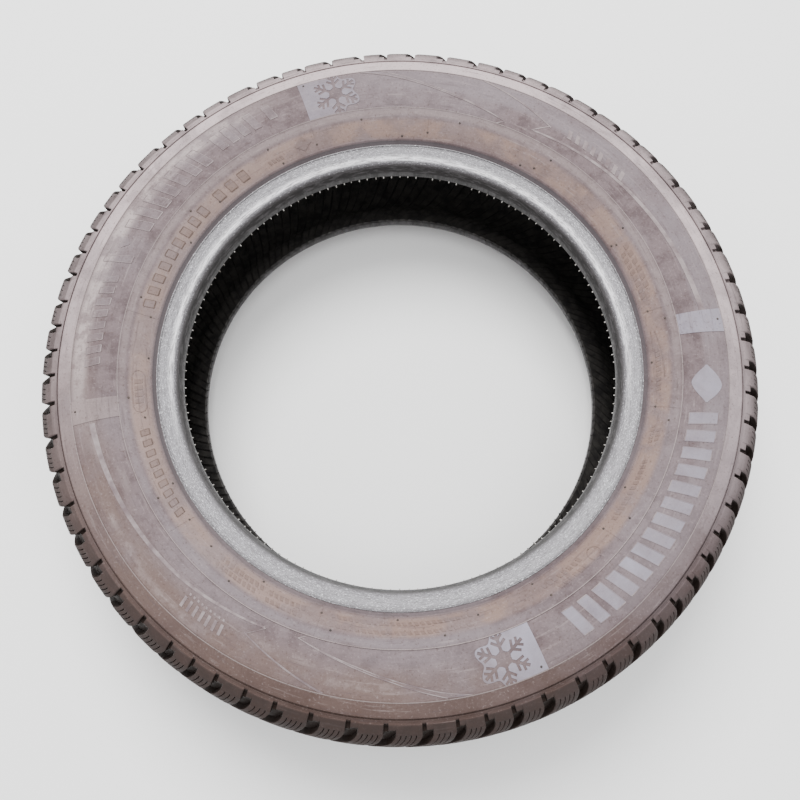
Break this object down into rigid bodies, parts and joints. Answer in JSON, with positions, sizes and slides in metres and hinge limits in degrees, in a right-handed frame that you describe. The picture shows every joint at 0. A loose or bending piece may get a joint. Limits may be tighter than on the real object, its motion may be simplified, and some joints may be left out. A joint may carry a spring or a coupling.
{
  "type": "car tyre",
  "caption": "Old radial winter car tyre lying flat: worn V-pattern tread, dusty sidewall with raised bands and plates, open bead and hollow air chamber.",
  "frame": {"origin": "on the wheel's axis, level with the lowest point of the tyre as it lies flat on one sidewall", "axes": "+Z along the wheel's axis, up out of the sidewall that shows; +X across the tyre, to the right of someone who looks along +Y"},
  "size_m": [0.622, 0.622, 0.184],
  "materials": {
    "rubber": "matt"
  },
  "bodies": {
    "root": {"tyre": "rubber"}
  },
  "joints": []
}
